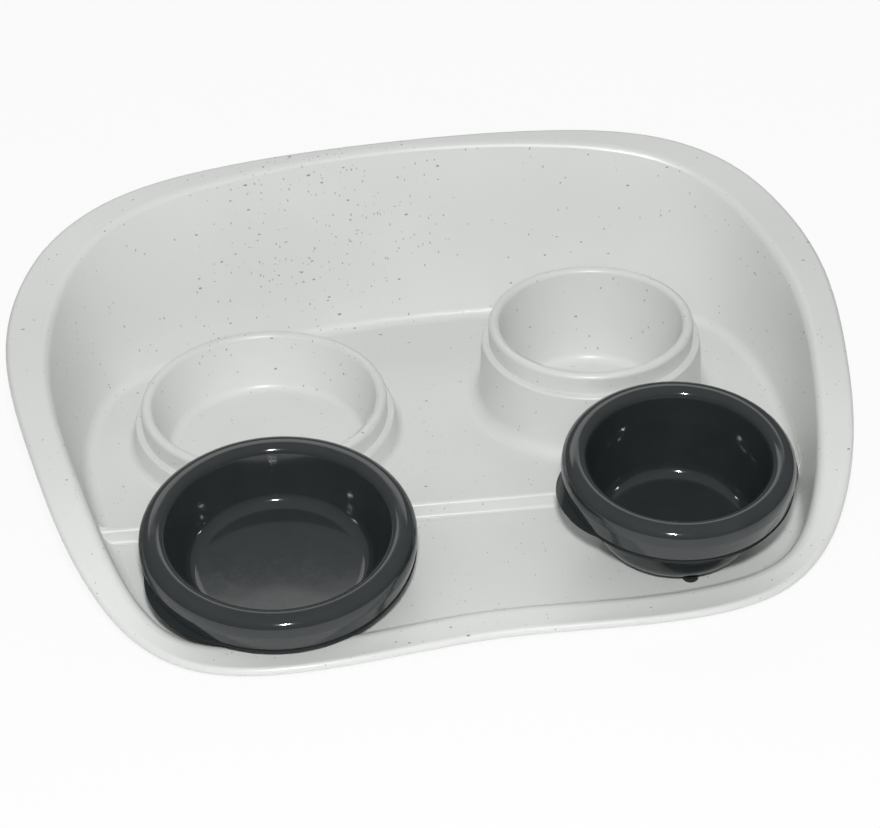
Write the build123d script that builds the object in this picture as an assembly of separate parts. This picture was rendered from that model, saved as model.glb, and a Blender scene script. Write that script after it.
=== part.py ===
from build123d import *
import os
from math import atan2, cos, degrees, radians, sin

# Double pet bowl: one moulded splash tray with two raised sockets, and two bowls that lift out of them.
# Frame: +X along the tray's width, +Y to its high back, +Z up, origin at the middle of its footprint.

# Tray: overall sizes
half_width = 216.0
half_depth = 159.5
back_rise = 100.0
front_rise = 7.0
wall = 2.5
foot_proud = 2.0

# Working allowances: how far a cut runs past a face, and how far apart two walls are that are fused
overrun = 4.0
merge = 0.1

# Tray: how far the basin's foot lies inside the outline, and how far its walls lean out over the back's rise
side_margin = 32.0
front_margin = 15.0
back_margin = 43.0
side_lean = 24.0
front_lean = 9.0
back_lean = 36.0
basin_round = 6.0

# Tray: flange and its turned-down edge
flange_thickness = 2.5
flange_lip = 8.0
flange_round = 5.0

# Tray: platform behind the front floor, with a slanted, rounded step
step_rise = 7.0
step_place = 52.5
step_slant = 4.2
step_run = 2.0
step_nose_round = 2.2
step_foot_round = 2.0

# Outline of the rim as shares of half width and half depth, right half from front to back
outline_shares = (
    (0.0, -0.966),
    (0.668, -0.927),
    (0.815, -0.763),
    (0.9675, -0.20),
    (0.894, 0.722),
    (0.80, 0.822),
    (0.427, 0.97),
    (0.0, 1.0),
)

# Outline of the basin as shares of its own half width and half depth, right half from front to back
basin_shares = (
    (0.0, -0.935),
    (0.565, -0.965),
    (0.82, -0.85),
    (0.95, -0.36),
    (0.97, 0.43),
    (0.90, 0.68),
    (0.43, 0.955),
    (0.0, 1.0),
)

# Height of the rim over the depth: share of half depth, share of the rise from front to back
rim_height_shares = (
    (-1.05, 0.0),
    (-0.86, 0.005),
    (-0.645, 0.20),
    (-0.385, 0.405),
    (-0.09, 0.53),
    (0.257, 0.615),
    (0.604, 0.73),
    (0.97, 1.0),
    (1.06, 1.03),
)

# Places along an edge at which it is tested for lying on the rim
rim_probe_shares = (0.1, 0.37, 0.63, 0.9)

# Bowls: wall and rolled rim, shared by both
bowl_wall = 2.2
bowl_floor = 2.5
rim_width = 11.8
rim_height = 14.0
rim_tuck = 0.8
rim_outer_round = 6.6
rim_inner_round = 4.2
rim_under_round = 1.6
rim_edge_round = 0.8
bowl_base_round = 7.0
tab_reach = 4.0
tab_half_angle = 26.0
tab_thickness = 2.5

# Bowls: large and small; where they stand on the front floor, across and behind the basin's front
large_rim_radius = 68.0
large_height = 32.0
large_floor_radius = 45.5
large_turn = 41.0
large_across = -95.0
large_setback = 58.0
small_rim_radius = 57.5
small_height = 52.5
small_floor_radius = 40.0
small_turn = 3.0
small_across = 102.0
small_setback = 50.0
lean_gap = 0.6

# Rubber pads under the bowls and feet under the tray
pad_radius = 4.0
pad_height = 2.0
pad_recess = 0.6
pad_inset = 7.0
pads_per_bowl = 4
foot_radius = 8.0
foot_recess = 1.0
foot_side_gap = 52.0
foot_front_gap = 42.0
foot_socket_offset = 26.0

# Sockets: ledge over the platform, ring over the ledge, and the fit of a bowl's rim over the ring
socket_spread = 87.5
socket_place = 29.5
large_ledge_rise = 12.0
large_flare = 4.0
small_ledge_rise = 36.0
small_flare = 8.0
seat_clearance = 0.6
socket_draft = 2.0
large_taper = 8.0
small_taper = 6.5
socket_base_round = 5.0
ring_round = 2.6
ledge_round = 1.2

floor_bottom = foot_proud
floor_top = floor_bottom + wall
platform_top = floor_top + step_rise
back_rim = floor_top + back_rise
front_rim = floor_top + front_rise
basin_half_width = half_width - side_margin
basin_front = half_depth - front_margin
basin_back = half_depth - back_margin
large_place = (large_across, large_setback - basin_front)
small_place = (small_across, small_setback - basin_front)
sockets = (
    (-1, large_rim_radius, large_ledge_rise, large_taper, large_flare),
    (1, small_rim_radius, small_ledge_rise, small_taper, small_flare),
)
standing = (Align.CENTER, Align.CENTER, Align.MIN)


def half_bean(shares, width, front, back, level):
    """Right half of a flat face at a level: a smooth outline through its shares, closed along the middle."""
    middle = (back - front) / 2
    reach = (back + front) / 2
    points = [Vector(x * width, middle + y * reach, level) for x, y in shares]
    outline = Spline(*points, tangents=[(1, 0, 0), (-1, 0, 0)], tangent_scalars=[1, 1])
    return make_face([*outline.edges(), *Line(points[-1], points[0]).edges()])


def whole(half):
    """A right half and its mirror image as one solid."""
    return half + mirror(half, about=Plane.YZ)


def basin_section(level, grow):
    """Half section of the basin at a level; its walls lean out with height."""
    up = (level - floor_top) / back_rise
    width = basin_half_width + side_lean * up + grow
    front = basin_front + front_lean * up + grow
    back = basin_back + back_lean * up + grow
    return half_bean(basin_shares, width, front, back, level)


def basin(low, high, grow):
    """Right half of the tapered block between two levels of the basin."""
    return loft([basin_section(low, grow), basin_section(high, grow)], ruled=True)


def hollow(low, high, grow):
    """Right half of the basin's inside from a floor upwards, rounded where its wall meets that floor."""
    block = basin(low, high, grow)
    foot = block.faces().sort_by(Axis.Z)[0]
    return fillet(foot.edges().sort_by(SortBy.LENGTH)[-1], basin_round)


def under_rim(drop):
    """Everything below the rim's curved height line, lowered by drop, over the right half."""
    rise = back_rim - front_rim
    line = [(y * half_depth, front_rim + share * rise - drop) for y, share in rim_height_shares]
    top = Spline(*[Vector(-overrun, y, z) for y, z in line])
    first = Vector(-overrun, line[0][0], -overrun)
    last = Vector(-overrun, line[-1][0], -overrun)
    sides = Polyline(top @ 1, last, first, top @ 0)
    profile = make_face([*top.edges(), *sides.edges()])
    return extrude(profile, amount=half_width + 2 * overrun, dir=(1, 0, 0))


def outline_block(inset, low, high):
    """Right half of a straight block of the whole outline, pulled in by inset."""
    base = half_bean(outline_shares, half_width - inset, half_depth - inset, half_depth - inset, low)
    return extrude(base, amount=high - low, dir=(0, 0, 1))


def along_step(corners, rounds):
    """Bar along the slanted step from (place behind its edge, height) corners, the given ones rounded."""
    side = -2 * half_width
    profile = make_face(Polyline(*[(side, back, z) for back, z in corners], close=True))
    for corner, radius in rounds:
        back, z = corners[corner]
        nearest = profile.vertices().sort_by_distance((side, back, z))[0]
        profile = fillet(nearest, radius)
    bar = extrude(profile, amount=-2 * side, dir=(1, 0, 0))
    return bar.moved(Location((0, -step_place, 0), (0, 0, -step_slant)))


def behind_step(start, low, high):
    """Everything between two levels that lies further back than start from the step's edge."""
    back = 2 * half_depth
    return along_step([(start, low), (back, low), (back, high), (start, high)], [])


def platform():
    """The raised floor behind the rounded step, curved up into the walls around it."""
    back = 2 * half_depth
    top = platform_top + basin_round
    start = step_run + step_nose_round
    corners = [
        (-step_foot_round - wall, floor_bottom),
        (back, floor_bottom),
        (back, top),
        (start, top),
        (start, platform_top),
        (step_run, platform_top),
        (0, floor_top),
        (-step_foot_round - wall, floor_top),
    ]
    block = whole(basin(floor_bottom, top, wall / 2) - hollow(platform_top, top + overrun, -merge))
    return block & along_step(corners, [(5, step_nose_round), (6, step_foot_round)])


def turned(points, rounds):
    """Solid of revolution about Z from (radius, height) corners, with the given corners rounded."""
    profile = make_face(Polyline(*[(r, 0, z) for r, z in points], close=True))
    for corner, radius in rounds:
        r, z = points[corner]
        nearest = profile.vertices().sort_by_distance((r, 0, z))[0]
        profile = fillet(nearest, radius)
    return revolve(profile, Axis.Z)


def socket(rim_radius, ledge_rise, taper, flare):
    """Raised ring with a ledge, flared into the platform, and the cup inside it; hollow below the ledge."""
    ring_top = ledge_rise + rim_height - bowl_wall - seat_clearance
    upper = rim_radius - rim_tuck - bowl_wall - seat_clearance
    inner = rim_radius - rim_width + bowl_wall + seat_clearance
    base = rim_radius + socket_draft
    foot = inner - taper
    skirt = base + flare + wall
    corners = [
        (0, -step_rise - wall),
        (foot + wall, -step_rise - wall),
        (inner + wall, ledge_rise - wall),
        (rim_radius - wall, ledge_rise - wall),
        (base - wall, -wall),
        (skirt, -wall),
        (skirt, 0),
        (base, 0),
        (rim_radius, ledge_rise),
        (upper, ledge_rise),
        (upper, ring_top),
        (inner, ring_top),
        (foot, -step_rise),
        (0, -step_rise),
    ]
    rounds = [(7, flare), (8, ledge_round), (10, ring_round), (11, ring_round), (12, socket_base_round)]
    return turned(corners, rounds)


def inner_rim_edge(body):
    """Edge between the flange's top and the basin's wall: the shorter of the two that follow the rim."""
    top = under_rim(0).faces().sort_by(Axis.Z)[-1]
    probes = [(edge, [edge @ at for at in rim_probe_shares]) for edge in body.edges()]
    along = [edge for edge, at in probes if all(top.distance_to(point) < merge for point in at)]
    return min((edge for edge in along if (edge @ rim_probe_shares[0]).X > wall), key=lambda edge: edge.length)


def shell():
    """The tray's skin: leaning wall, flange with a turned-down edge, and floor with its platform."""
    high = back_rim + overrun
    limit = under_rim(0)
    body = basin(floor_bottom, high, wall) & limit
    flange = outline_block(0, floor_bottom, high) & limit
    body += flange - under_rim(flange_thickness)
    lip = flange - outline_block(flange_thickness, floor_bottom - overrun, high)
    body += lip - under_rim(flange_lip)
    body -= hollow(floor_top, high, 0)
    body = fillet(inner_rim_edge(body), flange_round)
    return whole(body) + platform()


def tray():
    """Splash tray: the skin, hollow below its platform, with two sockets and seats for the feet."""
    body = shell()
    under = whole(basin(floor_bottom - overrun, platform_top - wall, -wall))
    body -= under & behind_step(step_run + wall, floor_bottom - overrun, platform_top - wall)
    for side, rim_radius, ledge_rise, taper, flare in sockets:
        place = Location((side * socket_spread, socket_place, platform_top))
        well = Cylinder(rim_radius + socket_draft, 2 * (step_rise + wall))
        body -= well.moved(place)
        body += socket(rim_radius, ledge_rise, taper, flare).moved(place)
    for x, y in foot_places():
        seat = Cylinder(foot_radius, foot_recess, align=standing)
        body -= seat.moved(Location((x, y, floor_bottom)))
    return body


def foot_places():
    """Middles of the four tray feet: two under the front floor, then one under each socket."""
    front_across = basin_half_width - foot_side_gap
    front = foot_front_gap - basin_front
    back = socket_place + foot_socket_offset
    return [(-front_across, front), (front_across, front), (-socket_spread, back), (socket_spread, back)]


def bowl(rim_radius, height, floor_radius, turn):
    """Bowl with a hollow rolled rim, two finger tabs and recesses for its pads, standing on z = 0."""
    base = pad_height - pad_recess
    lip = rim_radius - rim_width
    corners = [
        (0, base),
        (floor_radius + bowl_wall / 2, base),
        (lip + bowl_wall, height - bowl_wall),
        (rim_radius - bowl_wall, height - bowl_wall),
        (rim_radius - bowl_wall - rim_tuck, height - rim_height),
        (rim_radius - rim_tuck, height - rim_height),
        (rim_radius, height),
        (lip, height),
        (floor_radius, base + bowl_floor),
        (0, base + bowl_floor),
    ]
    rounds = [
        (1, bowl_base_round),
        (2, rim_under_round),
        (3, rim_outer_round - bowl_wall),
        (5, rim_edge_round),
        (6, rim_outer_round),
        (7, rim_inner_round),
        (8, bowl_base_round),
    ]
    body = turned(corners, rounds)
    half_chord = rim_radius * sin(radians(tab_half_angle))
    sagitta = rim_radius * (1 - cos(radians(tab_half_angle))) + tab_reach
    tab_radius = (half_chord ** 2 + sagitta ** 2) / (2 * sagitta)
    offset = rim_radius + tab_reach - tab_radius
    for angle in (turn, turn + 180):
        disc = Cylinder(tab_radius, tab_thickness, align=standing)
        bore = Cylinder(rim_radius - rim_tuck - bowl_wall, tab_thickness, align=standing)
        tab = disc.moved(Location((offset, 0, 0))) - bore
        body += tab.moved(Location((0, 0, height - rim_height), (0, 0, angle)))
    for x, y in pad_places(floor_radius):
        seat = Cylinder(pad_radius, pad_recess, align=standing)
        body -= seat.moved(Location((x, y, base)))
    return body


def pad_places(floor_radius):
    """Middles of the pads under a bowl, front, right, back and left."""
    reach = floor_radius - pad_inset
    angles = [radians(-90 + 360 * index / pads_per_bowl) for index in range(pads_per_bowl)]
    return [(reach * cos(angle), reach * sin(angle)) for angle in angles]


def lean_on_step(place, floor_radius):
    """A bowl with its front pad on the floor and its back pad on the platform."""
    y = place[1]
    pad_reach = floor_radius - pad_inset
    front_contact = y - pad_reach - pad_radius
    back_contact = y + pad_reach - pad_radius
    tilt = degrees(atan2(step_rise + lean_gap, back_contact - front_contact))
    return leaning(place, front_contact, tilt)


def lean_on_ring(place, floor_radius, rim_radius, height):
    """A bowl with its front pad on the floor and the back of its rim over a socket's ring."""
    y = place[1]
    front_contact = y - floor_radius + pad_inset - pad_radius
    ring_top = step_rise + large_ledge_rise + rim_height - bowl_wall - seat_clearance
    rise = ring_top + lean_gap - (height - rim_height)
    tilt = degrees(atan2(rise, y + rim_radius - front_contact))
    return leaning(place, front_contact, tilt)


def leaning(place, front_contact, tilt):
    """Place of a bowl that tips back about the front edge of its front pad."""
    x, y = place
    lift = (y - front_contact) * sin(radians(tilt)) + lean_gap
    return Location((x, y, floor_top + lift), (tilt, 0, 0))


def write(shape, name):
    export_step(shape, os.path.join("parts", name + ".step"))


os.makedirs("parts", exist_ok=True)
write(tray(), "tray")
foot_names = ("front_left", "front_right", "back_left", "back_right")
for name, (x, y) in zip(foot_names, foot_places()):
    foot = Cylinder(foot_radius, foot_proud + foot_recess, align=standing)
    write(foot.moved(Location((x, y, 0))), "tray_foot_" + name)
large_stand = lean_on_ring(large_place, large_floor_radius, large_rim_radius, large_height)
small_stand = lean_on_step(small_place, small_floor_radius)
bowls = (
    ("large_bowl", large_rim_radius, large_height, large_floor_radius, large_turn, large_stand),
    ("small_bowl", small_rim_radius, small_height, small_floor_radius, small_turn, small_stand),
)
pad_names = ("front", "right", "back", "left")
for name, rim_radius, height, floor_radius, turn, stand in bowls:
    write(bowl(rim_radius, height, floor_radius, turn).moved(stand), name)
    for pad_name, (x, y) in zip(pad_names, pad_places(floor_radius)):
        pad = Cylinder(pad_radius, pad_height, align=standing)
        write(pad.moved(Location((x, y, 0))).moved(stand), name + "_pad_" + pad_name)
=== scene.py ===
from math import acos, cos, pi, radians, sin, sqrt, tan

import bmesh
import bpy
from mathutils import Matrix, Vector
from mathutils.bvhtree import BVHTree


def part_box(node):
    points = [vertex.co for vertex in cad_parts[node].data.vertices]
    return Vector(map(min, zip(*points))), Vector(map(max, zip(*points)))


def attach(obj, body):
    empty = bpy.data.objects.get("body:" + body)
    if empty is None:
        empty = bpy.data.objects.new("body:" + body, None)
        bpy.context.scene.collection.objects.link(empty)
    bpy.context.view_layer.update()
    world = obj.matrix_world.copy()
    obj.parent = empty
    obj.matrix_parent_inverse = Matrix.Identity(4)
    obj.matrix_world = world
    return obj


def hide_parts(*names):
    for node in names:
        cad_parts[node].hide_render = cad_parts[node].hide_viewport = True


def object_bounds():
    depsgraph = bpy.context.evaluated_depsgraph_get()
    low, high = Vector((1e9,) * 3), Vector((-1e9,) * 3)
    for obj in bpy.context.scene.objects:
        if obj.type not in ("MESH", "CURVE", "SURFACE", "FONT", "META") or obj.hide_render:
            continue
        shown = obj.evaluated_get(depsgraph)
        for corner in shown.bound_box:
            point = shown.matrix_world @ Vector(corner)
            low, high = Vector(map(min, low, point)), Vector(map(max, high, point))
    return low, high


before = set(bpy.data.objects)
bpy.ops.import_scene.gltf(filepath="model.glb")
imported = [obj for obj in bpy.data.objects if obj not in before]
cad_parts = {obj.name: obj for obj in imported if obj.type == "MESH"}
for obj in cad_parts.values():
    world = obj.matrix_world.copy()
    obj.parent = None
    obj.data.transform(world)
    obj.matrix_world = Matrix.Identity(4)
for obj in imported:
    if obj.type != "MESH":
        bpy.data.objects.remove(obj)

cad_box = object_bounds()
MM = 0.001
WHITE = (1, 1, 1, 1)
DOWN = Vector((0, 0, -1))

# Photograph: its width in pixels, and where the camera stood
PHOTO_WIDTH = 880
FOCAL_PIXELS = 2603.7
SENSOR_WIDTH = 36.0
CAMERA_TARGET = Vector((3.2, 15.0, 20.0)) * MM
CAMERA_DISTANCE = 1370.6 * MM
CAMERA_ELEVATION = radians(35.19)
CAMERA_AZIMUTH = radians(9.06)
CAMERA_ROLL = radians(-1.91)

# Tray edge as it shows: depth of its lip, rounds of its rolled edge, and steps in each round
LIP_SHOWN = 4.2 * MM
EDGE_ROUND = 2.4 * MM
LIP_ROUND = 1.2 * MM
EDGE_STEPS = 5

# Finding the lip as modelled: reach past the outline, share just inside it, and least depth
OUTLINE_SEARCH = 5.0 * MM
JUST_INSIDE = 0.998
LIP_LEAST = 5.0 * MM

# Work on the tray's mesh: limit of an upright face's normal, weld, and height that rays start from
UPRIGHT = 0.5
WELD_REACH = 0.002 * MM
RAY_START = 1.0

# Bowls, in millimetres above their pads' soles
BOWL_BASE = 1.4
BOWL_WALL = 2.2
BOWL_FLOOR = 2.5
BOWL_FLOOR_ROUND = 8.0
PAD_HALF_HEIGHT = 1.0
LARGE_BOWL = {
    "rim_radius": 68, "height": 32, "floor_radius": 45, "base_radius": 46.6, "base_round": 8,
    "skirt": 16.9, "slant": 3.2, "turn": radians(33)}
SMALL_BOWL = {
    "rim_radius": 57.5, "height": 52.5, "floor_radius": 38.5, "base_radius": 39, "base_round": 12,
    "skirt": 20.5, "slant": 0, "turn": radians(7)}

# Rolled rim of a bowl, in millimetres: outside, then the hollow underneath
RIM_WIDTH = 12.4
RIM_TUCK = 1.4
RIM_TOP_TUCK = 0.9
RIM_BULGE_PLACE = 8.5
RIM_BULGE_ROUND = 6.0
RIM_OUTER_ROUND = 6.2
RIM_INNER_ROUND = 5.2
HOLLOW_DROP = 1
HOLLOW_TUCK = 0.8
HOLLOW_INNER_ROUND = 2.2
HOLLOW_OUTER_ROUND = 4.0
HOLLOW_EDGE_ROUND = 0.6

# Finger tabs and the bead between them, in millimetres
TAB_REACH = 4.4
TAB_HALF_ANGLE = radians(26)
TAB_THICKNESS = 2.5
TAB_ROUND = 0.9
TAB_SEAM_OUT = 0.3
TAB_SEAM_UP = 0.1
BEAD_REACH = 0.25

# Turned meshes
TURN_STEPS = 180
ARC_STEP = radians(9)
ARC_LEAST_STEPS = 2
ON_AXIS = 1e-6
SHARP_ANGLE = radians(40)

# Tray plastic: texture sizes in millimetres; a relief is its strength and its depth
TRAY_COLOURS = ("#DADCD9", "#E0E2E0")
TRAY_ROUGHNESS = (0.29, 0.37)
TRAY_HAZE = 40
TRAY_RIPPLE = 9
TRAY_RELIEF = (0.10, 0.25)
TRAY_INDEX = 1.49

# Flecks in the tray plastic, and how they crowd round the place where the melt met
FLECKS = (
    ("#ABADAA", {"stretch": (1.0, 1.0, 0.5), "cell": 2.2, "radius": 0.50, "share": 0.13}),
    ("#979A97", {"stretch": (0.55, 1.0, 1.0), "cell": 3.8, "radius": 0.66, "share": 0.12}),
)
FLECK_LEAST = 0.5
FLECK_EDGE = 4
SWAY = 3.0
SWAY_REACH = 0.6 * MM
MELT_MIDDLE = Vector((-42, 140, 80)) * MM
MELT_RANGE = (18 * MM, 90 * MM)
MELT_CROWD = (6.0, 1.0)

# Bowl plastic
BOWL_COLOURS = ("#262A2B", "#303536")
BOWL_ROUGHNESS = (0.07, 0.11)
BOWL_CLOUD = 16
BOWL_SCUFF = 5
BOWL_SCUFF_BEND = 1.5
BOWL_SCUFF_RANGE = (0.45, 0.75)
BOWL_WAVE = 26
BOWL_RELIEF = (0.12, 0.5)
BOWL_INDEX = 1.54

# Rubber of the pads and feet
RUBBER_COLOURS = ("#161617", "#232324")
RUBBER_ROUGHNESS = 0.75
RUBBER_GRAIN = 0.8
RUBBER_RELIEF = (0.3, 0.1)
RUBBER_INDEX = 1.52

# Lamps and background
FLASH_RISE = 150 * MM
FLASH_SIZE = 0.07
FLASH_WATTS = 12.0
PANEL_PLACE = Vector((0.1, 1.25, 1.35))
PANEL_WIDTH = 1.3
PANEL_HEIGHT = 0.38
PANEL_WATTS = 2.2
ROOM_LIGHT = (0.16, 0.42)
FLOOR_COLOUR = "#F4F4F4"
FLOOR_GLOW = 0.9
FLOOR_REACH = 4.0


def linear(hex_colour):
    """An sRGB hex colour as linear red, green, blue and alpha."""
    channels = [int(hex_colour[at:at + 2], 16) / 255 for at in (1, 3, 5)]
    return [c / 12.92 if c <= 0.04045 else ((c + 0.055) / 1.055) ** 2.4 for c in channels] + [1.0]


def new_object(name, data):
    """An object with that data, linked to the scene."""
    made = bpy.data.objects.new(name, data)
    bpy.context.scene.collection.objects.link(made)
    return made


def add(tree, kind, inputs=None, **settings):
    """Adds a node with its settings; an input is a value, or a socket to link from."""
    node = tree.nodes.new(kind)
    for name, value in settings.items():
        setattr(node, name, value)
    for name, value in (inputs or {}).items():
        if isinstance(value, bpy.types.NodeSocket):
            tree.links.new(value, node.inputs[name])
        else:
            node.inputs[name].default_value = value
    return node


def maths(tree, operation, *values, **settings):
    """Result of a maths node."""
    inputs = dict(enumerate(values))
    return add(tree, "ShaderNodeMath", inputs, operation=operation, **settings).outputs[0]


def vector_maths(tree, operation, *values):
    """Outputs of a vector maths node: a vector, then a value."""
    return add(tree, "ShaderNodeVectorMath", dict(enumerate(values)), operation=operation).outputs


def per_metre(size_mm):
    """Texture scale at which one cell or wave is that many millimetres wide."""
    return 1 / (size_mm * MM)


def noise(tree, place, size_mm, **inputs):
    """Noise texture whose waves are that many millimetres wide."""
    waves = {"Vector": place, "Scale": per_metre(size_mm), **inputs}
    return add(tree, "ShaderNodeTexNoise", waves).outputs


def ranged(tree, value, target, source=(0.0, 1.0), **settings):
    """A value carried over from the source's range to the target's."""
    inputs = {"Value": value, "From Min": source[0], "From Max": source[1],
              "To Min": target[0], "To Max": target[1]}
    return add(tree, "ShaderNodeMapRange", inputs, **settings).outputs[0]


def blend(tree, share, first, second):
    """Colour between two colours, by the second one's share."""
    return add(tree, "ShaderNodeMix", {0: share, 6: first, 7: second}, data_type="RGBA").outputs[2]


def new_material(name):
    """An empty node material with the object's own coordinates, and its output node."""
    material = bpy.data.materials.new(name)
    material.use_nodes = True
    tree = material.node_tree
    tree.nodes.clear()
    output = add(tree, "ShaderNodeOutputMaterial")
    place = add(tree, "ShaderNodeTexCoord").outputs["Object"]
    return material, tree, place, output


def add_surface(tree, output, colour, roughness, index, height, relief):
    """Surface of a material, with a height texture as its relief."""
    strength, depth = relief
    bump = add(tree, "ShaderNodeBump", {
        "Height": height, "Strength": strength, "Distance": depth * MM})
    shader = add(tree, "ShaderNodeBsdfPrincipled", {
        "Base Color": colour, "Roughness": roughness, "IOR": index,
        "Normal": bump.outputs["Normal"]})
    tree.links.new(shader.outputs[0], output.inputs["Surface"])


def fleck_layer(tree, place, crowd, stretch, cell, radius, share):
    """Mask of short flecks: one at most in each cell, in a share of the cells that crowd raises."""
    drawn = vector_maths(tree, "MULTIPLY", place, stretch)[0]
    cells = add(tree, "ShaderNodeTexVoronoi", {"Vector": drawn, "Scale": per_metre(cell)}).outputs
    luck = add(tree, "ShaderNodeSeparateColor", {"Color": cells["Color"]}).outputs
    chosen = maths(tree, "LESS_THAN", luck["Red"], maths(tree, "MULTIPLY", crowd, share))
    least = FLECK_LEAST * radius / cell
    more = (1 - FLECK_LEAST) * radius / cell
    size = maths(tree, "MULTIPLY_ADD", luck["Green"], more, least)
    within = maths(tree, "SUBTRACT", size, cells["Distance"])
    spot = maths(tree, "MULTIPLY", within, FLECK_EDGE * cell / radius, use_clamp=True)
    return maths(tree, "MULTIPLY", spot, chosen)


def speckled_polypropylene():
    """Injection-moulded polypropylene, pale warm grey with dark grit mixed in before moulding.

    The eye sees a semi-gloss, slightly milky skin with short soft flecks. They crowd in the upper
    back wall, where the melt met, and thin out elsewhere; the finest grit is drawn coarser than
    real, so that it shows.
    """
    material, tree, place, output = new_material("speckled_polypropylene")
    away = vector_maths(tree, "DISTANCE", place, MELT_MIDDLE)["Value"]
    crowd = ranged(tree, away, MELT_CROWD, MELT_RANGE, interpolation_type="SMOOTHSTEP")
    sway = noise(tree, place, SWAY, Detail=0.0)["Color"]
    bent = vector_maths(tree, "MULTIPLY_ADD", sway, (SWAY_REACH,) * 3, place)[0]
    haze = noise(tree, place, TRAY_HAZE, Detail=4.0)["Fac"]
    colour = blend(tree, haze, *map(linear, TRAY_COLOURS))
    for tint, sizes in FLECKS:
        mask = fleck_layer(tree, bent, crowd, **sizes)
        colour = blend(tree, mask, colour, linear(tint))
    ripple = noise(tree, place, TRAY_RIPPLE, Detail=2.0)["Fac"]
    roughness = ranged(tree, ripple, TRAY_ROUGHNESS)
    add_surface(tree, output, colour, roughness, TRAY_INDEX, ripple, TRAY_RELIEF)
    return material


def polished_abs():
    """Injection-moulded ABS, charcoal with a faint green cast, from a polished mould.

    The eye sees a dark, almost wet skin with sharp lamp points, slow waves in its reflections and
    light scuffs.
    """
    material, tree, place, output = new_material("polished_abs")
    cloud = noise(tree, place, BOWL_CLOUD, Detail=4.0)["Fac"]
    colour = blend(tree, cloud, *map(linear, BOWL_COLOURS))
    scuff = noise(tree, place, BOWL_SCUFF, Detail=6.0, Distortion=BOWL_SCUFF_BEND)["Fac"]
    roughness = ranged(tree, scuff, BOWL_ROUGHNESS, BOWL_SCUFF_RANGE)
    wave = noise(tree, place, BOWL_WAVE, Detail=1.0)["Fac"]
    add_surface(tree, output, colour, roughness, BOWL_INDEX, wave, BOWL_RELIEF)
    return material


def moulded_rubber():
    """Compression-moulded black rubber: the eye sees a matt skin with a fine dry grain."""
    material, tree, place, output = new_material("moulded_rubber")
    grain = noise(tree, place, RUBBER_GRAIN, Detail=3.0)["Fac"]
    colour = blend(tree, grain, *map(linear, RUBBER_COLOURS))
    add_surface(tree, output, colour, RUBBER_ROUGHNESS, RUBBER_INDEX, grain, RUBBER_RELIEF)
    return material


def dress(piece, material):
    """Gives a piece one material in place of any it has."""
    piece.data.materials.clear()
    piece.data.materials.append(material)


def rounded(corners):
    """Outline through corners of (across, height, round, tab share, drop share), made into arcs."""
    outline = []
    for at, (r, z, curve, *shares) in enumerate(corners):
        if curve == 0:
            outline.append((r, z, *shares))
            continue
        corner = Vector((r, z))
        before = (Vector(corners[at - 1][:2]) - corner).normalized()
        after = (Vector(corners[at + 1][:2]) - corner).normalized()
        half = acos(max(-1.0, min(1.0, before.dot(after)))) / 2
        centre = corner + (before + after).normalized() * (curve / sin(half))
        start = corner + before * (curve / tan(half)) - centre
        swing = pi - 2 * half
        turn = 1 if start.x * after.y - start.y * after.x > 0 else -1
        steps = max(ARC_LEAST_STEPS, round(swing / ARC_STEP))
        for step in range(steps + 1):
            angle = turn * swing * step / steps
            point = centre + Vector((start.x * cos(angle) - start.y * sin(angle),
                                     start.x * sin(angle) + start.y * cos(angle)))
            outline.append((point.x, point.y, *shares))
    return outline


def tab_swell(angle, radius):
    """How far a finger tab stands out of the rim at an angle from the tab's middle."""
    half_chord = radius * sin(TAB_HALF_ANGLE)
    rise = radius * (1 - cos(TAB_HALF_ANGLE)) + TAB_REACH
    curve = (half_chord ** 2 + rise ** 2) / (2 * rise)
    offset = radius + TAB_REACH - curve
    aside = abs((angle + pi / 2) % pi - pi / 2)
    if aside > TAB_HALF_ANGLE:
        return BEAD_REACH
    reach = offset * cos(aside) + sqrt(curve ** 2 - (offset * sin(aside)) ** 2)
    return max(BEAD_REACH, reach - radius)


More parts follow.
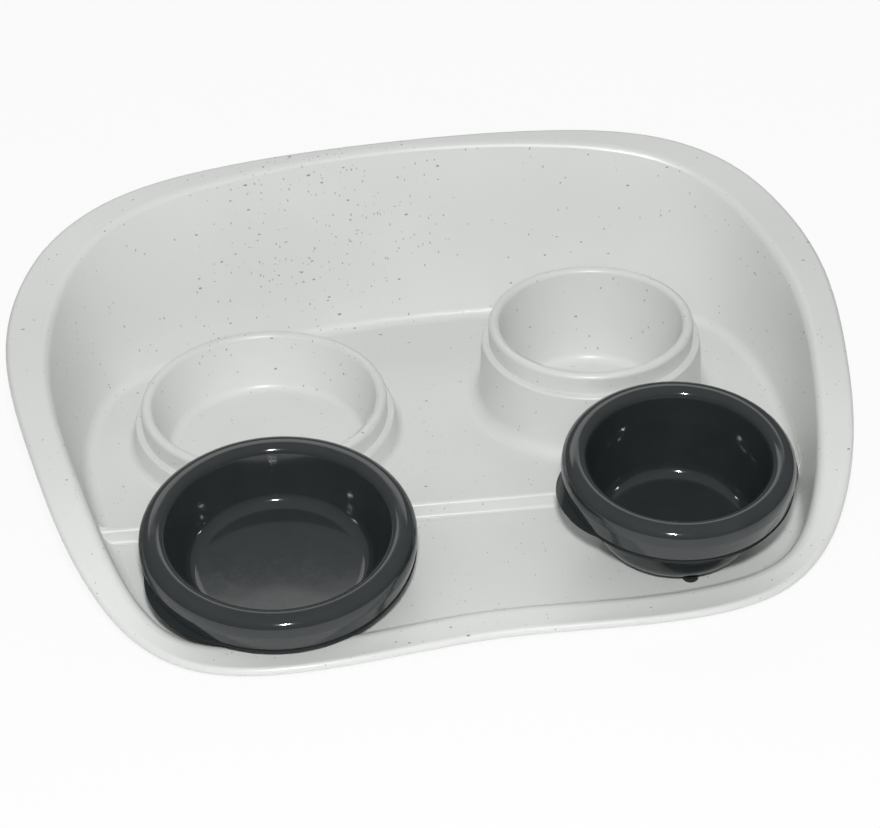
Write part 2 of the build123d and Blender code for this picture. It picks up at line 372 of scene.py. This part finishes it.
def bowl_mesh(name, rim_radius, height, floor_radius, base_radius, base_round, skirt, slant, turn):
    """Turned bowl with a rolled rim, hollow underneath, whose lower edge swells into two tabs.

    The rim's lower edge may slant, lower in front than behind, where it lies over a ring of the
    tray.
    """
    lip = rim_radius - RIM_WIDTH
    low = height - skirt
    edge = rim_radius - RIM_TUCK
    hollow = height - BOWL_WALL - HOLLOW_DROP
    floor = BOWL_BASE + BOWL_FLOOR
    outline = rounded([
        (0, BOWL_BASE, 0, 0, 0),
        (base_radius, BOWL_BASE, base_round, 0, 0),
        (lip + BOWL_WALL, hollow, HOLLOW_INNER_ROUND, 0, 0),
        (rim_radius - BOWL_WALL - HOLLOW_TUCK, hollow, HOLLOW_OUTER_ROUND, 0, 0),
        (edge - BOWL_WALL, low, HOLLOW_EDGE_ROUND, 0, 1),
        (edge, low, TAB_ROUND, 1, 1),
        (edge, low + TAB_THICKNESS, TAB_ROUND, 1, 1),
        (edge + TAB_SEAM_OUT, low + TAB_THICKNESS + TAB_SEAM_UP, 0, 0, 1),
        (rim_radius, height - RIM_BULGE_PLACE, RIM_BULGE_ROUND, 0, 0),
        (rim_radius - RIM_TOP_TUCK, height, RIM_OUTER_ROUND, 0, 0),
        (lip, height, RIM_INNER_ROUND, 0, 0),
        (floor_radius, floor, BOWL_FLOOR_ROUND, 0, 0),
        (0, floor, 0, 0, 0),
    ])
    vertices, faces, rings = [], [], []
    for r, z, tab_share, drop_share in outline:
        if r < ON_AXIS:
            rings.append([len(vertices)] * TURN_STEPS)
            vertices.append((0, 0, z * MM))
            continue
        rings.append(range(len(vertices), len(vertices) + TURN_STEPS))
        for step in range(TURN_STEPS):
            angle = 2 * pi * step / TURN_STEPS
            reach = r + tab_share * tab_swell(angle - turn, edge)
            level = z + drop_share * slant * sin(angle)
            vertices.append((reach * cos(angle) * MM, reach * sin(angle) * MM, level * MM))
    for ring, onward in zip(rings, rings[1:]):
        for step in range(TURN_STEPS):
            after = (step + 1) % TURN_STEPS
            corner = [ring[step], ring[after], onward[after], onward[step]]
            faces.append(list(dict.fromkeys(corner)))
    mesh = bpy.data.meshes.new(name)
    mesh.from_pydata(vertices, [], faces)
    mesh.polygons.foreach_set("use_smooth", [True] * len(mesh.polygons))
    mesh.set_sharp_from_angle(angle=SHARP_ANGLE)
    return mesh


def pad_middle(bowl, side):
    """Middle of one of a bowl's four pads."""
    low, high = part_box(bowl + "_pad_" + side)
    return (low + high) / 2


def add_bowl(bowl, material, sizes):
    """A bowl in place of its node, stood on the four pads as they lie in the frame."""
    name = bowl + "_moulding"
    piece = new_object(name, bowl_mesh(name, **sizes))
    front, right, back, left = (
        pad_middle(bowl, side) for side in ("front", "right", "back", "left"))
    across = (right - left).normalized()
    along = (back - front).normalized()
    axis = across.cross(along)
    middle = sum((front, right, back, left), Vector()) / 4
    stand = middle - axis * PAD_HALF_HEIGHT * MM
    turn = Matrix((across, along, axis)).transposed().to_4x4()
    piece.data.transform(Matrix.Translation(stand) @ turn)
    dress(piece, material)
    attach(piece, bowl)
    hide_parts(bowl)


def light_rays(tree):
    """One for a ray that shows the background: direct, in a reflection, or through something."""
    path = add(tree, "ShaderNodeLightPath").outputs
    seen = maths(tree, "MAXIMUM", path["Is Camera Ray"], path["Is Glossy Ray"])
    return maths(tree, "MAXIMUM", seen, path["Is Transmission Ray"])


def add_floor():
    """Wide white floor, which fills the background and keeps the object's shadow."""
    low = cad_box[0].z
    signs = ((-1, -1), (1, -1), (1, 1), (-1, 1))
    corners = [(x * FLOOR_REACH, y * FLOOR_REACH, low) for x, y in signs]
    mesh = bpy.data.meshes.new("floor")
    mesh.from_pydata(corners, [], [(0, 1, 2, 3)])
    floor = new_object("floor", mesh)
    material, tree, _, output = new_material("painted_floor")
    paint = add(tree, "ShaderNodeBsdfDiffuse", {"Color": linear(FLOOR_COLOUR)})
    glow = add(tree, "ShaderNodeEmission", {"Color": WHITE, "Strength": 1.0})
    share = maths(tree, "MULTIPLY", light_rays(tree), FLOOR_GLOW)
    lift = add(tree, "ShaderNodeMixShader", {0: share, 1: paint.outputs[0], 2: glow.outputs[0]})
    tree.links.new(lift.outputs[0], output.inputs["Surface"])
    mesh.materials.append(material)


def add_world():
    """Soft room light, dimmer near the horizon, so that gloss has something to show."""
    world = bpy.data.worlds.new("room")
    bpy.context.scene.world = world
    world.use_nodes = True
    tree = world.node_tree
    tree.nodes.clear()
    sky = add(tree, "ShaderNodeTexCoord").outputs["Generated"]
    height = add(tree, "ShaderNodeSeparateXYZ", {"Vector": sky}).outputs["Z"]
    level = ranged(tree, height, ROOM_LIGHT)
    back = add(tree, "ShaderNodeBackground", {"Color": WHITE, "Strength": level})
    output = add(tree, "ShaderNodeOutputWorld")
    tree.links.new(back.outputs[0], output.inputs["Surface"])


def camera_axes():
    """The camera's right, up and back directions."""
    forward = Vector((sin(CAMERA_AZIMUTH) * cos(CAMERA_ELEVATION),
                      cos(CAMERA_AZIMUTH) * cos(CAMERA_ELEVATION),
                      -sin(CAMERA_ELEVATION)))
    level = Vector((cos(CAMERA_AZIMUTH), -sin(CAMERA_AZIMUTH), 0))
    upright = level.cross(forward)
    right = level * cos(CAMERA_ROLL) + upright * sin(CAMERA_ROLL)
    up = upright * cos(CAMERA_ROLL) - level * sin(CAMERA_ROLL)
    return right, up, -forward


def add_camera():
    """Camera at the photograph's viewpoint and field of view; returns where its flash is."""
    right, up, back = camera_axes()
    data = bpy.data.cameras.new("photo_camera")
    data.sensor_fit = "HORIZONTAL"
    data.sensor_width = SENSOR_WIDTH
    data.lens = FOCAL_PIXELS / PHOTO_WIDTH * SENSOR_WIDTH
    camera = new_object("photo_camera", data)
    place = CAMERA_TARGET + back * CAMERA_DISTANCE
    turn = Matrix((right, up, back)).transposed().to_4x4()
    camera.matrix_world = Matrix.Translation(place) @ turn
    bpy.context.scene.camera = camera
    return place + up * FLASH_RISE


def add_lamp(name, place, width, height, watts):
    """Soft oblong lamp that points at the object's middle."""
    data = bpy.data.lights.new(name, "AREA")
    data.shape = "RECTANGLE"
    data.size = width
    data.size_y = height
    data.energy = watts
    lamp = new_object(name, data)
    aim = (CAMERA_TARGET - place).to_track_quat("-Z", "Y").to_matrix().to_4x4()
    lamp.matrix_world = Matrix.Translation(place) @ aim


def skin_top(skin, place):
    """Highest point of the tray's skin on the upright line through a place, or None."""
    return skin.ray_cast(Vector((place.x, place.y, RAY_START)), DOWN)[0]


def lip_faces(body, skin):
    """Faces of the turned-down lip: upright ones close to the outline, and the lowest ones."""
    near, deep = set(), set()
    for vertex in body.verts:
        flat = Vector((vertex.co.x, vertex.co.y, 0))
        if skin_top(skin, flat + flat.normalized() * OUTLINE_SEARCH):
            continue
        near.add(vertex)
        above = skin_top(skin, flat * JUST_INSIDE)
        if above and above.z - vertex.co.z > LIP_LEAST:
            deep.add(vertex)
    upright = [face for face in body.faces
               if abs(face.normal.z) < UPRIGHT and near.issuperset(face.verts)]
    lowest = [face for face in body.faces
              if face.normal.z <= -UPRIGHT and deep.issuperset(face.verts)]
    return upright + lowest


def open_loops(body):
    """The closed runs of vertices along the edges that have one face."""
    beside = {}
    for edge in body.edges:
        if len(edge.link_faces) == 1:
            for vertex in edge.verts:
                beside.setdefault(vertex, []).append(edge.other_vert(vertex))
    loops = []
    while beside:
        loop = [next(iter(beside))]
        while True:
            onward = [v for v in beside.pop(loop[-1], []) if v in beside]
            if not onward:
                break
            loop.append(onward[0])
        loops.append(loop)
    return loops


def loop_edges(body, loop):
    """The edges along a closed run of vertices."""
    return [body.edges.get((loop[at - 1], loop[at])) for at in range(len(loop))]


def edge_profile():
    """Steps of the rolled edge: distance outward from the rim's outline, and drop below the rim."""
    angles = [pi / 2 * part / EDGE_STEPS for part in range(EDGE_STEPS + 1)]
    roll = [(EDGE_ROUND * (sin(angle) - 1), EDGE_ROUND * (1 - cos(angle))) for angle in angles[1:]]
    return roll + [(LIP_ROUND * (cos(angle) - 1), LIP_SHOWN - LIP_ROUND * (1 - sin(angle)))
                   for angle in angles]


def roll_edge(body, skin, rim, underside):
    """Sets the rim's outline back, and sweeps a rolled edge from it to the flange's underside."""
    corner = [vertex.co.copy() for vertex in rim]
    outward = []
    for before, place, after in zip(corner[-1:] + corner[:-1], corner, corner[1:] + corner[:1]):
        along = (place - before).to_2d().normalized() + (after - place).to_2d().normalized()
        outward.append(Vector((along.y, -along.x, 0)).normalized())
    if sum(out.dot(place) for out, place in zip(outward, corner)) < 0:
        outward = [-out for out in outward]
    slope = []
    for vertex, place, out in zip(rim, corner, outward):
        above = skin_top(skin, place - out * EDGE_ROUND)
        slope.append(above.z - place.z)
        vertex.co = above
    ring = list(rim)
    for distance, drop in edge_profile():
        share = min(-distance / EDGE_ROUND, 1)
        row = [body.verts.new(place + out * distance + Vector((0, 0, rise * share - drop)))
               for place, out, rise in zip(corner, outward, slope)]
        for at in range(len(row)):
            after = (at + 1) % len(row)
            body.faces.new((ring[at], ring[after], row[after], row[at])).smooth = True
        ring = row
    edges = loop_edges(body, ring) + loop_edges(body, underside)
    for face in bmesh.ops.bridge_loops(body, edges=edges)["faces"]:
        face.smooth = True


def add_tray(material):
    """The tray in place of its node: the same moulding, with its outer edge rolled over."""
    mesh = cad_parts["tray"].data.copy()
    mesh.name = "tray_moulding"
    skin = BVHTree.FromPolygons([v.co for v in mesh.vertices], [p.vertices for p in mesh.polygons])
    smooth_normals = [corner.vector.copy() for corner in mesh.corner_normals]
    body = bmesh.new()
    body.from_mesh(mesh)
    kept = body.loops.layers.float_vector.new("kept_normal")
    corners = (loop for face in body.faces for loop in face.loops)
    for loop, normal in zip(corners, smooth_normals):
        loop[kept] = normal
    bmesh.ops.remove_doubles(body, verts=body.verts, dist=WELD_REACH)
    body.normal_update()
    bmesh.ops.delete(body, geom=lip_faces(body, skin), context="FACES")
    rim, underside = sorted(open_loops(body), key=lambda loop: -max(v.co.x for v in loop))
    roll_edge(body, skin, rim, underside)
    bmesh.ops.recalc_face_normals(body, faces=body.faces)
    body.to_mesh(mesh)
    body.free()
    normals = [entry.vector.copy() for entry in mesh.attributes["kept_normal"].data]
    mesh.attributes.remove(mesh.attributes["kept_normal"])
    mesh.normals_split_custom_set(normals)
    piece = new_object("tray_moulding", mesh)
    dress(piece, material)
    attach(piece, "tray")
    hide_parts("tray")


tray_finish = speckled_polypropylene()
bowl_finish = polished_abs()
rubber_finish = moulded_rubber()
add_tray(tray_finish)
add_bowl("large_bowl", bowl_finish, LARGE_BOWL)
add_bowl("small_bowl", bowl_finish, SMALL_BOWL)
for name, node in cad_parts.items():
    if "pad" in name or "foot" in name:
        dress(node, rubber_finish)

add_floor()
add_world()
flash_place = add_camera()
add_lamp("flash", flash_place, FLASH_SIZE, FLASH_SIZE, FLASH_WATTS)
add_lamp("back_panel", PANEL_PLACE, PANEL_WIDTH, PANEL_HEIGHT, PANEL_WATTS)

bpy.context.scene.view_settings.view_transform = "Standard"
